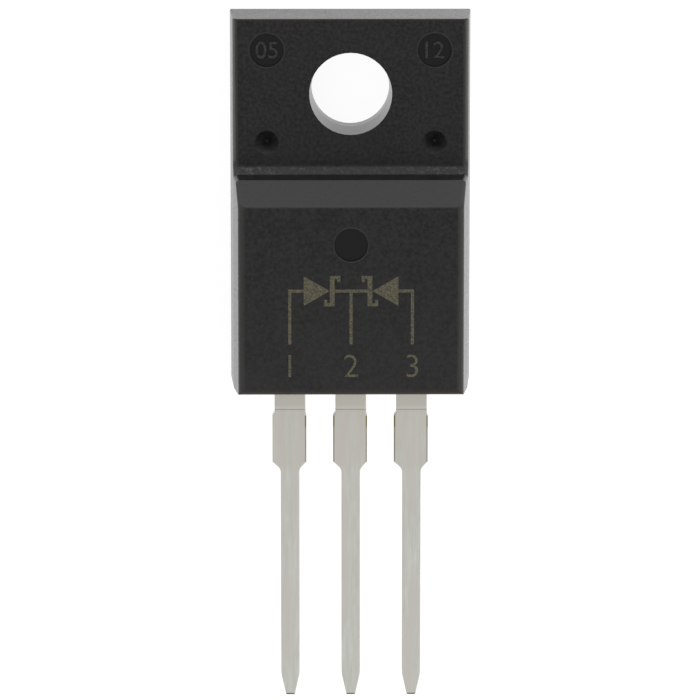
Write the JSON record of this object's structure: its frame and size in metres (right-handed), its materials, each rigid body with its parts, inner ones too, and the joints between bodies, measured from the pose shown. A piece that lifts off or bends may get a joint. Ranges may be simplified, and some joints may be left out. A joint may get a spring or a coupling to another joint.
{
  "type": "schottky rectifier diode",
  "caption": "Dual common-cathode Schottky rectifier in a fully moulded package with a mounting hole and a row of straight pins.",
  "frame": {"origin": "centre of the mounting hole on the back (heatsink) face", "axes": "+X across the row of leads, +Y from the leads towards the tab's free end, +Z out of the marked face along the mounting hole"},
  "size_m": [0.01, 0.0287, 0.0047],
  "materials": {
    "epoxy_moulding": "fine spark-eroded matte, black filled epoxy",
    "tin_plated_copper": "satin tin plate over stamped copper",
    "silicon": "sawn silicon with a metallised top",
    "solder": "dull soft solder",
    "bond_aluminium": "drawn wire"
  },
  "bodies": {
    "root": {"body": "epoxy_moulding", "cathode_lead": "tin_plated_copper", "anode_lead_left": "tin_plated_copper", "anode_lead_right": "tin_plated_copper", "die_left": "silicon", "die_right": "silicon", "solder_left": "solder", "solder_right": "solder", "bond_wire_left_inner": "bond_aluminium", "bond_wire_left_outer": "bond_aluminium", "bond_wire_right_inner": "bond_aluminium", "bond_wire_right_outer": "bond_aluminium"}
  },
  "joints": []
}
